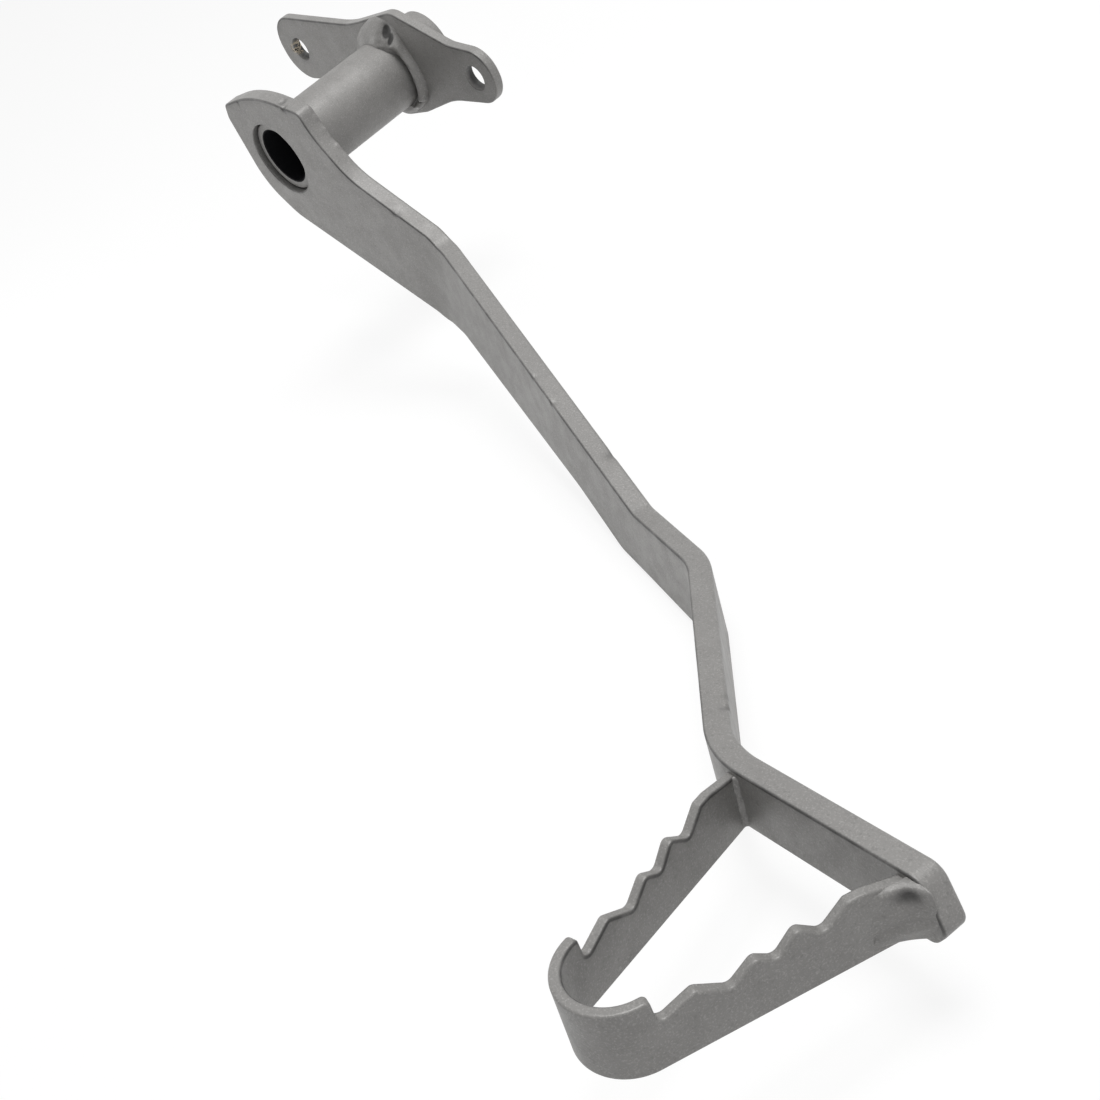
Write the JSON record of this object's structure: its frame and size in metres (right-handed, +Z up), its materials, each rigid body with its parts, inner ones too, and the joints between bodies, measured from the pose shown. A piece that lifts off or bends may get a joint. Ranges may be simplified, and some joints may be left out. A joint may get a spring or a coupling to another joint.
{
  "type": "motorcycle rear brake pedal",
  "caption": "Bent steel foot brake pedal: plate arm on a pivot tube, eared crank plate for rod and spring, and a serrated foot loop welded to the tip.",
  "frame": {"origin": "on the pivot axis, halfway through the arm plate", "axes": "+Y along the pivot axis, inboard from the arm to the crank plate; +X forward along the arm towards the foot pad, square with the pivot; +Z up"},
  "size_m": [0.4032, 0.2487, 0.1124],
  "materials": {
    "grey_paint": "satin grey paint with a fine grain"
  },
  "bodies": {
    "root": {"pedal_arm": "grey_paint", "pivot_tube": "grey_paint", "crank_plate": "grey_paint", "foot_pad": "grey_paint", "arm_weld": "grey_paint", "crank_weld": "grey_paint", "rear_pad_weld": "grey_paint", "front_pad_weld": "grey_paint"}
  },
  "joints": []
}
